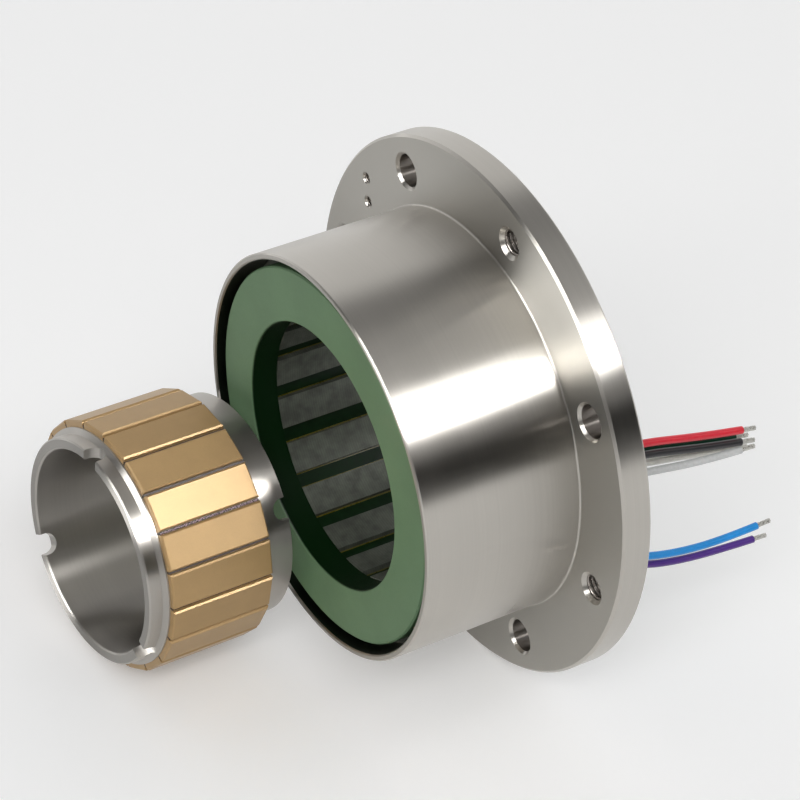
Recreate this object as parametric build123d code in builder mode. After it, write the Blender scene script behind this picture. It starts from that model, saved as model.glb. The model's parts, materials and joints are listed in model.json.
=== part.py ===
# Frameless motor: a flanged stator and the separate rotor that runs in it.
# Millimetres, +Z up. The motor axis is the Y axis, with the open mouth towards -Y.
# The origin is on that axis, at the flange face that seats on the machine.
# Angles round the motor are counted from +X towards +Z, as seen from the mouth.
import os
from math import cos, pi, radians, sin, tan

from build123d import *

os.makedirs("parts", exist_ok=True)

# Flanged housing
SLEEVE_WALL = 1.2
FLANGE_WIDTH = 13.5
FLANGE_THICKNESS = 6.0
FLANGE_CHAMFER = 0.5
SHOULDER_HEIGHT = 1.2
RIM_CHAMFER = 0.25
ROOT_FILLET = 0.4

# Holes in the flange
BOLT_OFFSET = 6.5
BOLT_COUNT = 4
BOLT_HOLE_DIAMETER = 6.4
BOLT_HOLE_CHAMFER = 0.55
JACK_HOLE_DIAMETER = 5.0
JACK_HOLE_CHAMFER = 0.7
BOLT_START_ANGLE = 28.0
SMALL_HOLE_DIAMETER = 2.05
SMALL_HOLE_CHAMFER = 0.3
SMALL_HOLE_DEPTH = 4.0
SMALL_HOLE_SPACING = 4.9
SMALL_HOLE_ANGLE = 140.8
SMALL_HOLE_LINE_ANGLE = 98.0
EDGE_TOLERANCE = 0.001

# Laminated stator core, whose bore sets the diameters outside and inside it
BORE_DIAMETER = 51.0
CORE_LENGTH = 21.5
CORE_INSET = 4.0
TOOTH_COUNT = 18
TOOTH_WIDTH = 5.2
TOOTH_START_ANGLE = 16.9
TIP_THICKNESS = 1.4
SLOT_OPENING = 3.0
SLOT_DEPTH = 7.47
YOKE_THICKNESS = 3.4
BOND_GAP = 0.03

# Slot liners, wedges and coils
LINER_THICKNESS = 0.25
WEDGE_INSET = 1.0
COIL_GAP = 0.4
COIL_TAPER_RELIEF = 2.0
COIL_CORNER = 0.9
COIL_CLEARANCE = 0.1
END_INSULATION = 0.4

# Moulded end rings
RING_CLEARANCE = 0.4
RING_BORE_STEP = 0.2
FRONT_RING_HEIGHT = 5.35
RING_FACE = 1.0
RING_OUTER_WALL = 1.2
RING_INNER_WALL = 1.1
RING_CHAMFER = 0.3
FRONT_RING_RECESS = 1.15
REAR_RING_RECESS = 1.15

# Connection board and sensors inside the rear ring
BOARD_THICKNESS = 1.2
BOARD_SEAT = 0.5
BOARD_CLEARANCE = 0.1
SENSOR_COUNT = 3
SENSOR_SPACING_ANGLE = 40.0
SENSOR_START_ANGLE = 226.9
SENSOR_WIDTH = 4.1
SENSOR_HEIGHT = 3.0
SENSOR_THICKNESS = 1.2

# Rotor, which stands in front of the stator and a little askew
ROTOR_STANDOFF = 2.6
ROTOR_SIDE_STEP = 28.4
ROTOR_DROP = 27.35
ROTOR_YAW = -3.4
ROTOR_PITCH = -2.8
HUB_WALL = 2.34
FRONT_LIP_WALL = 2.2
FRONT_LIP_LENGTH = 2.7
REAR_LAND_WALL = 1.9
REAR_LAND_LENGTH = 6.3
SHOULDER_RISE = 0.95
SHOULDER_BEVEL = 0.7
SHOULDER_LAND = 0.3
HUB_CHAMFER = 0.3
NOTCH_COUNT = 3
NOTCH_WIDTH = 4.2
NOTCH_DEPTH = 3.0
NOTCH_ANGLE = 88.7

# Magnets on the rotor, whose faces stand off the stator's bore by the air gap
MAGNET_COUNT = 20
MAGNET_LENGTH = 21.6
MAGNET_THICKNESS = 2.1
MAGNET_CHAMFER = 0.3
MAGNET_GAP = 0.17
MAGNET_ANGLE = 10.7
FACE_GAP = 0.76
GLUE_THICKNESS = 0.1
GLUE_RIB_HEIGHT = 1.3
GLUE_RIB_CLEARANCE = 0.035

# Lead wires
LEAD_DIAMETER = 1.5
GROMMET_EDGE = 0.3
GROMMET_WIDTH = 4.2
GROMMET_PROUD = 0.65
UPPER_GROMMET_ANGLE = 6.6
UPPER_GROMMET_LENGTH = 10.4
LOWER_GROMMET_ANGLE = -42.8
LOWER_GROMMET_LENGTH = 5.6
ARC_SHARE = 0.45

# Sizes of the stator that follow from the ones above
bore_radius = BORE_DIAMETER / 2
tip_radius = bore_radius + TIP_THICKNESS
slot_bottom = tip_radius + SLOT_DEPTH
core_radius = slot_bottom + YOKE_THICKNESS
sleeve_bore_radius = core_radius + BOND_GAP
sleeve_radius = sleeve_bore_radius + SLEEVE_WALL
shoulder_radius = sleeve_bore_radius - SHOULDER_HEIGHT
flange_radius = sleeve_radius + FLANGE_WIDTH
bolt_circle_radius = sleeve_radius + BOLT_OFFSET
core_rear = -CORE_INSET
core_front = core_rear - CORE_LENGTH
tooth_half_pitch = 180 / TOOTH_COUNT
first_slot_angle = TOOTH_START_ANGLE + tooth_half_pitch
front_ring_face = core_front - FRONT_RING_HEIGHT
rear_ring_face = FLANGE_THICKNESS - REAR_RING_RECESS
sleeve_front = front_ring_face - FRONT_RING_RECESS
ring_radius = shoulder_radius - RING_CLEARANCE
ring_bore_radius = bore_radius + RING_BORE_STEP
channel_outer = ring_radius - RING_OUTER_WALL
channel_inner = ring_bore_radius + RING_INNER_WALL
grommet_radius = channel_outer - GROMMET_EDGE - GROMMET_WIDTH / 2

# Sizes of the rotor, from the air gap inwards
magnet_half_pitch = 180 / MAGNET_COUNT
gap_angle = MAGNET_ANGLE + magnet_half_pitch
magnet_height = bore_radius - FACE_GAP
glue_height = magnet_height - MAGNET_THICKNESS
seat_height = glue_height - GLUE_THICKNESS
magnet_width = 2 * glue_height * tan(radians(magnet_half_pitch)) - MAGNET_GAP
hub_bore_radius = seat_height - HUB_WALL
front_lip_radius = hub_bore_radius + FRONT_LIP_WALL
rear_land_radius = hub_bore_radius + REAR_LAND_WALL
shoulder_outer = seat_height + SHOULDER_RISE
shoulder_start = FRONT_LIP_LENGTH + SHOULDER_BEVEL
magnet_start = shoulder_start + SHOULDER_LAND
magnet_end = magnet_start + MAGNET_LENGTH
rotor_length = magnet_end + REAR_LAND_LENGTH


# Planes square to the motor axis, whose normals point out of the mouth
def station(y):
    return Plane.XZ.offset(-y)


# Planes square to the rotor axis, a distance behind the rotor's front rim, set from the rear rim
yaw = radians(ROTOR_YAW)
pitch = radians(ROTOR_PITCH)
rotor_side = Vector(cos(yaw), -sin(yaw), 0)
rotor_rearward = Vector(sin(yaw) * cos(pitch), cos(yaw) * cos(pitch), sin(pitch))
rotor_rear_centre = Vector(-ROTOR_SIDE_STEP, sleeve_front - ROTOR_STANDOFF, -ROTOR_DROP)
rotor_rim_centre = rotor_rear_centre - rotor_rearward * rotor_length
rotor_rim = Plane(origin=rotor_rim_centre, x_dir=rotor_side, z_dir=-rotor_rearward)
rotor_section = Plane(origin=rotor_rim_centre, x_dir=rotor_side, z_dir=rotor_side.cross(rotor_rearward))
rotor_axis = Axis(rotor_rim.origin, rotor_rearward)


def behind_rim(distance):
    return rotor_rim.offset(-distance)


# Housing: one turned piece, a thin sleeve with its mounting flange
with BuildPart() as housing:
    with BuildSketch(Plane.XY) as housing_profile:
        with BuildLine():
            Polyline(
                (shoulder_radius, core_rear),
                (sleeve_bore_radius, core_rear),
                (sleeve_bore_radius, sleeve_front),
                (sleeve_radius, sleeve_front),
                (sleeve_radius, 0),
                (flange_radius, 0),
                (flange_radius, FLANGE_THICKNESS),
                (shoulder_radius, FLANGE_THICKNESS),
                close=True,
            )
        make_face()
        rim_corners = housing_profile.vertices().filter_by_position(Axis.Y, sleeve_front, sleeve_front)
        chamfer(rim_corners, length=RIM_CHAMFER)
        flange_corners = housing_profile.vertices().filter_by_position(Axis.X, flange_radius, flange_radius)
        chamfer(flange_corners, length=FLANGE_CHAMFER)
        root_corner = housing_profile.vertices().filter_by_position(Axis.X, sleeve_radius, sleeve_radius)
        fillet(root_corner.sort_by(Axis.Y)[-1], radius=ROOT_FILLET)
    revolve(axis=Axis.Y)
    with Locations(station(0)):
        with PolarLocations(bolt_circle_radius, BOLT_COUNT, BOLT_START_ANGLE):
            Hole(radius=BOLT_HOLE_DIAMETER / 2, depth=FLANGE_THICKNESS)
        with PolarLocations(bolt_circle_radius, BOLT_COUNT, BOLT_START_ANGLE + 180 / BOLT_COUNT):
            Hole(radius=JACK_HOLE_DIAMETER / 2, depth=FLANGE_THICKNESS)
        with PolarLocations(bolt_circle_radius, 1, SMALL_HOLE_ANGLE, rotate=False):
            with PolarLocations(SMALL_HOLE_SPACING / 2, 2, SMALL_HOLE_LINE_ANGLE):
                Hole(radius=SMALL_HOLE_DIAMETER / 2, depth=SMALL_HOLE_DEPTH)
    flange_circles = housing.edges().filter_by(GeomType.CIRCLE)
    for hole_diameter, mouth, last_y in (
        (BOLT_HOLE_DIAMETER, BOLT_HOLE_CHAMFER, FLANGE_THICKNESS),
        (JACK_HOLE_DIAMETER, JACK_HOLE_CHAMFER, FLANGE_THICKNESS),
        (SMALL_HOLE_DIAMETER, SMALL_HOLE_CHAMFER, 0),
    ):
        rims = flange_circles.filter_by(lambda rim: abs(rim.radius - hole_diameter / 2) < EDGE_TOLERANCE)
        open_rims = rims.filter_by_position(Axis.Y, -EDGE_TOLERANCE, last_y + EDGE_TOLERANCE)
        chamfer(open_rims, length=mouth)
housing.part.label = "housing"
export_step(housing.part, "parts/housing.step")


# Outline of one slot along +X: a trapezoid between parallel teeth, and its narrow mouth
def slot_outline(inset):
    half_pitch = radians(tooth_half_pitch)

    def half_width(radius):
        return radius * tan(half_pitch) - (TOOTH_WIDTH / 2 + inset) / cos(half_pitch)

    inner = tip_radius + inset
    outer = slot_bottom - inset
    with BuildSketch() as outline:
        with BuildLine():
            Polyline(
                (inner, -half_width(inner)),
                (outer, -half_width(outer)),
                (outer, half_width(outer)),
                (inner, half_width(inner)),
                close=True,
            )
        make_face()
        mouth_start = bore_radius - TIP_THICKNESS
        with Locations(((mouth_start + inner) / 2, 0)):
            Rectangle(inner - mouth_start, SLOT_OPENING - 2 * inset)
    return outline.sketch


slot_space = slot_outline(0)
lined_space = slot_outline(LINER_THICKNESS)

# Core: the bonded stack of laminations, with its teeth standing inwards
with BuildPart() as stator_core:
    with BuildSketch(station(core_rear)):
        Circle(core_radius)
        Circle(bore_radius, mode=Mode.SUBTRACT)
        with PolarLocations(0, TOOTH_COUNT, first_slot_angle):
            add(slot_space, mode=Mode.SUBTRACT)
    extrude(amount=CORE_LENGTH)
stator_core.part.label = "stator_core"
export_step(stator_core.part, "parts/stator_core.step")

# Slot liners: insulating film folded round each slot, up to its mouth
with BuildPart() as slot_liners:
    with BuildSketch(station(core_rear)):
        with PolarLocations(0, TOOTH_COUNT, first_slot_angle):
            add(slot_space)
            add(lined_space, mode=Mode.SUBTRACT)
        Circle(bore_radius + WEDGE_INSET, mode=Mode.SUBTRACT)
    extrude(amount=CORE_LENGTH)
slot_liners.part.label = "slot_liners"
export_step(slot_liners.part, "parts/slot_liners.step")

# Slot wedges: strips that close the slot mouths between the liner's lips
with BuildPart() as slot_wedges:
    wedge_inner = bore_radius + WEDGE_INSET
    wedge_outer = tip_radius + LINER_THICKNESS
    with BuildSketch(station(core_rear)):
        with PolarLocations((wedge_inner + wedge_outer) / 2, TOOTH_COUNT, first_slot_angle):
            Rectangle(wedge_outer - wedge_inner, SLOT_OPENING - 2 * LINER_THICKNESS)
    extrude(amount=CORE_LENGTH)
slot_wedges.part.label = "slot_wedges"
export_step(slot_wedges.part, "parts/slot_wedges.step")

# Coils: one wound round each tooth, thicker towards the yoke
coil_start = tip_radius + LINER_THICKNESS + COIL_CLEARANCE
slot_half_angle = radians(tooth_half_pitch)
coil_depth = slot_bottom - LINER_THICKNESS - COIL_CLEARANCE - slot_bottom * sin(slot_half_angle) ** 2
coil_height = coil_depth / cos(slot_half_angle) - coil_start
coil_inner_width = TOOTH_WIDTH + 2 * (LINER_THICKNESS + COIL_CLEARANCE)
coil_half_width = coil_start * tan(slot_half_angle) - COIL_GAP / 2 / cos(slot_half_angle)
coil_wall = coil_half_width - coil_inner_width / 2
coil_taper = tooth_half_pitch - COIL_TAPER_RELIEF
coil_inner_length = CORE_LENGTH + 2 * END_INSULATION
for index in range(TOOTH_COUNT):
    angle = radians(TOOTH_START_ANGLE + index * 360 / TOOTH_COUNT)
    outward = Vector(cos(angle), 0, sin(angle))
    coil_centre = outward * coil_start + Vector(0, (core_front + core_rear) / 2, 0)
    coil_plane = Plane(origin=coil_centre, x_dir=(0, 1, 0), z_dir=outward)
    with BuildPart() as coil:
        with BuildSketch(coil_plane):
            RectangleRounded(coil_inner_length + 2 * coil_wall, 2 * coil_half_width, COIL_CORNER)
        extrude(amount=coil_height, taper=-coil_taper)
        with BuildSketch(coil_plane):
            Rectangle(coil_inner_length, coil_inner_width)
        extrude(amount=coil_height, mode=Mode.SUBTRACT)
    coil.part.label = f"coil_{index + 1:02d}"
    export_step(coil.part, f"parts/{coil.part.label}.step")


# End rings: moulded channels that cover the coil ends, open towards the core
def ring_channel(face_y, core_y):
    inner_depth = RING_FACE if core_y > face_y else -RING_FACE
    with BuildSketch(Plane.XY) as section:
        with BuildLine():
            Polyline(
                (ring_bore_radius, core_y),
                (ring_bore_radius, face_y),
                (ring_radius, face_y),
                (ring_radius, core_y),
                (channel_outer, core_y),
                (channel_outer, face_y + inner_depth),
                (channel_inner, face_y + inner_depth),
                (channel_inner, core_y),
                close=True,
            )
        make_face()
        face_corners = section.vertices().filter_by_position(Axis.Y, face_y, face_y)
        chamfer(face_corners, length=RING_CHAMFER)
    return section.sketch


with BuildPart() as front_end_ring:
    add(ring_channel(front_ring_face, core_front))
    revolve(axis=Axis.Y)
front_end_ring.part.label = "front_end_ring"
export_step(front_end_ring.part, "parts/front_end_ring.step")


# Grommet outline on the rear ring, a slot whose length runs round the motor
def grommet_outline(angle, length):
    with BuildSketch() as outline:
        with PolarLocations(grommet_radius, 1, angle):
            SlotOverall(length, GROMMET_WIDTH, rotation=90)
    return outline.sketch


upper_pad = grommet_outline(UPPER_GROMMET_ANGLE, UPPER_GROMMET_LENGTH)
lower_pad = grommet_outline(LOWER_GROMMET_ANGLE, LOWER_GROMMET_LENGTH)

with BuildPart() as rear_end_ring:
    add(ring_channel(rear_ring_face, core_rear))
    revolve(axis=Axis.Y)
    with BuildSketch(station(rear_ring_face)):
        add(upper_pad)
        add(lower_pad)
    extrude(amount=RING_FACE, mode=Mode.SUBTRACT)
rear_end_ring.part.label = "rear_end_ring"
export_step(rear_end_ring.part, "parts/rear_end_ring.step")

# Connection board: the ring that joins the coils to the leads
board_rear = rear_ring_face - RING_FACE - SENSOR_THICKNESS - BOARD_SEAT
with BuildPart() as connection_board:
    with BuildSketch(station(board_rear)):
        Circle(channel_outer - BOARD_CLEARANCE)
        Circle(channel_inner + BOARD_CLEARANCE, mode=Mode.SUBTRACT)
    extrude(amount=BOARD_THICKNESS)
connection_board.part.label = "connection_board"
export_step(connection_board.part, "parts/connection_board.step")

# Position sensors: small packages on the board, a fixed angle apart
sensor_radius = channel_inner + BOARD_CLEARANCE + SENSOR_HEIGHT / 2
for index in range(SENSOR_COUNT):
    sensor_angle = SENSOR_START_ANGLE + index * SENSOR_SPACING_ANGLE
    with BuildPart() as sensor:
        with BuildSketch(station(board_rear)):
            with PolarLocations(sensor_radius, 1, sensor_angle):
                Rectangle(SENSOR_HEIGHT, SENSOR_WIDTH)
        extrude(amount=-SENSOR_THICKNESS)
    sensor.part.label = f"position_sensor_{index + 1}"
    export_step(sensor.part, f"parts/{sensor.part.label}.step")

# Grommets: soft plugs in the rear ring that the leads come out of
for grommet_name, pad in (("upper_grommet", upper_pad), ("lower_grommet", lower_pad)):
    with BuildPart() as grommet:
        with BuildSketch(station(rear_ring_face + GROMMET_PROUD)):
            add(pad)
        extrude(amount=RING_FACE + GROMMET_PROUD)
        outside = grommet.faces().sort_by(Axis.Y)[-1]
        chamfer(outside.edges(), length=RING_CHAMFER)
    grommet.part.label = grommet_name
    export_step(grommet.part, f"parts/{grommet_name}.step")

# Leads: their routes leave the grommets straight and bend a little on the way back
lead_exit = rear_ring_face + GROMMET_PROUD
lead_routes = {
    "lead_red": [
        (33.2, lead_exit, 7.0), (33.2, 11.5, 7.0), (33.5, 18.5, 6.1),
        (33.6, 26.0, 4.2), (33.9, 33.0, 2.7), (34.1, 39.0, 1.6),
    ],
    "lead_green": [
        (31.5, lead_exit, 4.9), (31.5, 11.5, 4.9), (31.7, 18.5, 3.6),
        (31.7, 26.0, 1.5), (31.9, 33.0, 0.0), (32.1, 39.0, -1.2),
    ],
    "lead_black": [
        (33.5, lead_exit, 4.4), (33.5, 11.5, 4.4), (33.5, 18.5, 3.5),
        (33.6, 26.0, 1.6), (33.8, 33.0, 0.0), (34.1, 39.0, -1.1),
    ],
    "lead_white": [
        (31.5, lead_exit, 1.3), (31.5, 11.5, 1.3), (31.7, 18.5, 0.2),
        (31.7, 26.0, -1.3), (31.9, 33.0, -2.6), (32.1, 39.0, -3.8),
    ],
    "lead_grey": [
        (33.4, lead_exit, 0.3), (33.4, 11.5, 0.3), (33.6, 18.5, -0.5),
        (33.8, 26.0, -1.8), (34.1, 33.0, -2.5), (34.3, 39.0, -2.8),
    ],
    "lead_blue": [
        (24.9, lead_exit, -21.2), (24.9, 11.0, -21.2), (27.6, 17.0, -23.6), (29.1, 23.5, -25.2),
        (29.6, 31.0, -26.6), (29.8, 40.0, -27.3), (30.0, 48.0, -26.9),
    ],
    "lead_violet": [
        (23.2, lead_exit, -23.0), (23.2, 11.0, -23.0), (26.4, 17.0, -25.7), (28.3, 23.5, -27.8),
        (28.8, 31.0, -29.3), (29.0, 40.0, -30.3), (29.2, 48.0, -30.7),
    ],
}


# Bend radii as large as the runs beside each corner allow
def bend_radii(points):
    radii = []
    for before, corner, after in zip(points, points[1:], points[2:]):
        run_in = Vector(*corner) - Vector(*before)
        run_out = Vector(*after) - Vector(*corner)
        half_turn = radians(run_in.get_angle(run_out) / 2)
        radii.append(ARC_SHARE * min(run_in.length, run_out.length) / tan(half_turn))
    return radii


for lead_name, points in lead_routes.items():
    radii = bend_radii(points)
    print(lead_name, "bend radii", [round(radius, 1) for radius in radii])
    with BuildPart() as lead:
        with BuildLine() as route:
            FilletPolyline(*points, radius=radii)
        path = route.wires()[0]
        with BuildSketch(Plane(origin=path @ 0, z_dir=path % 0)):
            Circle(LEAD_DIAMETER / 2)
        sweep(path=path)
    tube_volume = pi * (LEAD_DIAMETER / 2) ** 2 * path.length
    volume_share = round(lead.part.volume / tube_volume, 4)
    print(lead_name, "length", round(path.length, 2), "volume share", volume_share)
    lead.part.label = lead_name
    export_step(lead.part, f"parts/{lead_name}.step")

# Rotor hub: a turned sleeve with flats for the magnets and notches in both rims
with BuildPart() as rotor_hub:
    with BuildSketch(rotor_section) as hub_profile:
        with BuildLine():
            Polyline(
                (hub_bore_radius, 0),
                (front_lip_radius, 0),
                (front_lip_radius, FRONT_LIP_LENGTH),
                (shoulder_outer, shoulder_start),
                (shoulder_outer, magnet_end),
                (rear_land_radius, magnet_end),
                (rear_land_radius, rotor_length),
                (hub_bore_radius, rotor_length),
                close=True,
            )
        make_face()
    revolve(axis=rotor_axis)
    with BuildSketch(behind_rim(magnet_start)):
        Circle(shoulder_outer + MAGNET_THICKNESS)
        RegularPolygon(
            seat_height, MAGNET_COUNT, major_radius=False, rotation=gap_angle, mode=Mode.SUBTRACT
        )
    extrude(amount=-MAGNET_LENGTH, mode=Mode.SUBTRACT)
    rim_edges = rotor_hub.edges().filter_by(GeomType.CIRCLE)
    end_faces = (rotor_rim.origin, rotor_rim.origin + rotor_rearward * rotor_length)
    for centre in end_faces:
        rims = rim_edges.filter_by(lambda rim: (rim.arc_center - centre).length < EDGE_TOLERANCE)
        chamfer(rims, length=HUB_CHAMFER)
    for depth, direction, first_angle in (
        (0, -1, NOTCH_ANGLE),
        (rotor_length, 1, NOTCH_ANGLE + 180 / NOTCH_COUNT),
    ):
        mouth_plane = behind_rim(depth)
        for index in range(NOTCH_COUNT):
            angle = radians(first_angle + index * 360 / NOTCH_COUNT)
            notch_outward = mouth_plane.x_dir * cos(angle) + mouth_plane.y_dir * sin(angle)
            notch_floor = mouth_plane.origin + notch_outward * (hub_bore_radius - NOTCH_DEPTH)
            notch_plane = Plane(origin=notch_floor, x_dir=rotor_rearward * direction, z_dir=notch_outward)
            with BuildSketch(notch_plane):
                with Locations((NOTCH_WIDTH / 2 - NOTCH_DEPTH, 0)):
                    Circle(NOTCH_WIDTH / 2)
                    Rectangle(NOTCH_DEPTH, NOTCH_WIDTH, align=(Align.MIN, Align.CENTER))
            extrude(amount=shoulder_outer - hub_bore_radius + 2 * NOTCH_DEPTH, mode=Mode.SUBTRACT)
rotor_hub.part.label = "rotor_hub"
export_step(rotor_hub.part, "parts/rotor_hub.step")

# Adhesive: the cured film under the magnets, with a low rib in each gap between them
with BuildPart() as magnet_adhesive:
    with BuildSketch(behind_rim(magnet_start)):
        RegularPolygon(glue_height, MAGNET_COUNT, major_radius=False, rotation=gap_angle)
        rib_foot_radius = glue_height / cos(radians(magnet_half_pitch)) - GLUE_THICKNESS
        rib_foot = MAGNET_GAP / 2 - GLUE_RIB_CLEARANCE
        rib_top = rib_foot + GLUE_RIB_HEIGHT * sin(radians(magnet_half_pitch))
        with BuildSketch(mode=Mode.PRIVATE) as rib:
            with BuildLine():
                Polyline(
                    (rib_foot_radius, -rib_foot),
                    (rib_foot_radius + GLUE_RIB_HEIGHT, -rib_top),
                    (rib_foot_radius + GLUE_RIB_HEIGHT, rib_top),
                    (rib_foot_radius, rib_foot),
                    close=True,
                )
            make_face()
        with PolarLocations(0, MAGNET_COUNT, gap_angle):
            add(rib.sketch)
        RegularPolygon(
            seat_height, MAGNET_COUNT, major_radius=False, rotation=gap_angle, mode=Mode.SUBTRACT
        )
    extrude(amount=-MAGNET_LENGTH)
magnet_adhesive.part.label = "magnet_adhesive"
export_step(magnet_adhesive.part, "parts/magnet_adhesive.step")

# Magnets: flat bars with broken edges, one on each flat
for index in range(MAGNET_COUNT):
    angle = radians(MAGNET_ANGLE + index * 360 / MAGNET_COUNT)
    magnet_outward = rotor_rim.x_dir * cos(angle) + rotor_rim.y_dir * sin(angle)
    magnet_origin = rotor_rim.origin + rotor_rearward * (magnet_start + MAGNET_LENGTH / 2)
    magnet_plane = Plane(origin=magnet_origin, x_dir=rotor_rearward, z_dir=magnet_outward)
    with BuildPart() as magnet:
        with BuildSketch(magnet_plane.offset(glue_height)):
            Rectangle(MAGNET_LENGTH, magnet_width)
        extrude(amount=MAGNET_THICKNESS)
        top_face = magnet.faces().sort_by(Axis(magnet_origin, magnet_outward))[-1]
        chamfer(top_face.edges(), length=MAGNET_CHAMFER)
    magnet.part.label = f"magnet_{index + 1:02d}"
    export_step(magnet.part, f"parts/{magnet.part.label}.step")
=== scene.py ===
# Frameless motor: finishes, lead wires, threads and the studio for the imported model.
# Metres, +Z up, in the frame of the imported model. The motor axis is the Y axis.
import json
from math import cos, pi, radians, sin

import bpy
from bpy.props import (
    FloatProperty,
    FloatVectorProperty,
    IntProperty,
    PointerProperty,
)
from bpy.types import Operator, Panel, PropertyGroup
from mathutils import Matrix, Vector


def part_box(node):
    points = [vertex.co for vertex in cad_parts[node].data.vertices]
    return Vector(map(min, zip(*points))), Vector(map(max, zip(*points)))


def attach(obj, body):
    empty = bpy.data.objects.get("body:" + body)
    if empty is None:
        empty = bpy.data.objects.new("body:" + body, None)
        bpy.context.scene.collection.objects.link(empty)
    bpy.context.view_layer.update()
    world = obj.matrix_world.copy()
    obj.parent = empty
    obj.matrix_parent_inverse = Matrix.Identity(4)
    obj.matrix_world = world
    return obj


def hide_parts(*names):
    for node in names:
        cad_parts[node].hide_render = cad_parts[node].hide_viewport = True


bl_info = {
    "name": "Frameless Motor Dressing",
    "version": (1, 0, 0),
    "blender": (4, 5, 0),
    "location": "View3D > Sidebar > Motor",
    "description": "Gives the frameless motor its finishes, leads, threads and studio",
    "category": "Object",
}

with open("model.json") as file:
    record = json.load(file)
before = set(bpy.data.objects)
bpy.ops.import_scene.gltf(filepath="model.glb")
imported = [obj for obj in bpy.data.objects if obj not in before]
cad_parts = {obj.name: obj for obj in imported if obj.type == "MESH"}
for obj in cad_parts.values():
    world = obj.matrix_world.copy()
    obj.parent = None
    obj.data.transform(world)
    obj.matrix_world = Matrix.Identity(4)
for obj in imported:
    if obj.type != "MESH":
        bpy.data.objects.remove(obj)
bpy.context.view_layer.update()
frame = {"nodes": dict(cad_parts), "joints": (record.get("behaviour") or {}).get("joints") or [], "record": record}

MILLIMETRE = 0.001
motor_axis = Vector((0, 1, 0))
motor_centre = Vector((0, 0, 0))
spin = frame["joints"][0]
rotor_axis = Vector(spin["axis"])
rotor_centre = Vector(spin["pos_m"])

# Angles round the motor axis, from +X towards +Z, in degrees
FIRST_JACK_ANGLE = 73.0
PAIR_ANGLE = 98.0

# Radii that the turned finishes change between, and the width of the change, in metres
SLEEVE_BORE = (0.036, 0.0382)
HOLE_CIRCLES = (0.041, 0.0505)
FLANGE_FACES = (0.036, 0.053)
HUB_ENDS = (0.019, 0.0265)
ZONE_EDGE = 0.0001

# Radii that an end ring goes from its bore's painted shade to its face's colour between, in metres
RING_BORE_EDGE = (0.02575, 0.02595)

# A thread's ridge radius, as a share of its pitch
RIDGE_SHARE = 0.42

# Bare wire: how far the outer strands lie from the middle one, in strand radii, and their turns
STRAND_LAY = 1.9
STRAND_TURNS = 0.45

# The bead line, in millimetres: its height over the rotor's axis, and its run behind the rim
BEAD_HEIGHT = 24.5
BEAD_RUN = (4.0, 25.0)

# The floor's half side in metres, and the glow that makes it pale without lighting the motor
FLOOR_REACH = 3.0
FLOOR_GLOW = 0.22

# The room as strips along the motor: the angle up from +X in degrees, and the brightness there
ROOM_SCALE = 2.45
ROOM_STRIPS = [
    (-179, 0.42), (-21, 0.42), (-15, 0.0), (19, 0.0), (24, 0.1), (44, 0.14), (47, 1.1), (57, 1.1),
    (59, 0.24), (96, 0.12), (114, 0.1), (126, 0.34), (150, 0.38), (179, 0.38),
]

# How much darker the room is in front of the motor and above it, and where the shade comes
# in: over the Y of the direction, and over the angle up from +X in degrees
FRONT_SHADE = 0.85
SHADE_AHEAD = (-0.4, -0.6)
SHADE_ABOVE = (88, 100)


def on_screen(red, green, blue):
    """The linear values of a colour given as it looks on a screen, 0 to 255."""
    return tuple(
        value / 12.92 if value <= 0.04045 else ((value + 0.055) / 1.055) ** 2.4
        for value in (red / 255, green / 255, blue / 255)
    )


def colour(name, description, *screen_values):
    return FloatVectorProperty(
        name=name,
        description=description,
        subtype="COLOR",
        size=3,
        min=0,
        max=1,
        default=on_screen(*screen_values),
    )


def length(name, description, millimetres):
    return FloatProperty(
        name=name,
        description=description,
        subtype="DISTANCE",
        unit="LENGTH",
        min=0,
        precision=5,
        default=millimetres * MILLIMETRE,
    )


def power(name, description, watts):
    return FloatProperty(name=name, description=description, subtype="POWER", min=0, default=watts)


class MotorFinishes(PropertyGroup):
    """Colours of the motor's own finishes."""

    steel: colour("Housing steel", "Turned steel of the housing", 190, 186, 179)
    # Painted shade: the flange faces are the housing steel coloured darker, for the shadowed floor that they
    # mirror
    face_steel_shade: colour("Flange face", "Ground faces of the flange", 168, 165, 158)
    hole_steel: colour("Hole walls", "Drilled walls of the holes in the flange", 152, 146, 140)
    # Painted shade: the sleeve's bore is coloured dark for the shade that falls inside the sleeve
    sleeve_bore_shade: colour("Sleeve bore", "Bonded bore of the sleeve, stained by adhesive", 52, 60, 52)
    hub_face: colour("Rotor face steel", "End faces and notches of the rotor hub", 152, 149, 144)
    hub_steel: colour("Hub steel", "Turned steel of the rotor hub", 182, 178, 172)
    teeth: colour("Core teeth", "Varnished laminations of the stator core", 108, 112, 102)
    film: colour("Liner film", "Amber film that lines the slots", 96, 88, 22)
    wedge: colour("Slot wedge", "Varnished wedges in the slot mouths", 8, 34, 10)
    copper: colour("Copper wire", "Enamelled wire of the coils", 176, 96, 46)
    moulding: colour("Ring moulding", "Face of the moulded end rings", 106, 137, 102)
    # Painted shade: the rings' bore is coloured nearly black-green for the shade inside it
    moulding_bore_shade: colour("Ring bore", "Bore of the moulded end rings", 2, 30, 4)
    board: colour("Board", "Connection board inside the rear ring", 24, 78, 44)
    sensor: colour("Sensor package", "Moulded bodies of the position sensors", 22, 22, 24)
    rubber: colour("Grommet rubber", "Grommets that the leads come out of", 34, 34, 34)
    resin: colour("Adhesive", "Cured adhesive under the magnets", 48, 32, 16)
    magnet: colour("Magnet coat", "Coating on the magnets", 168, 136, 88)


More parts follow.
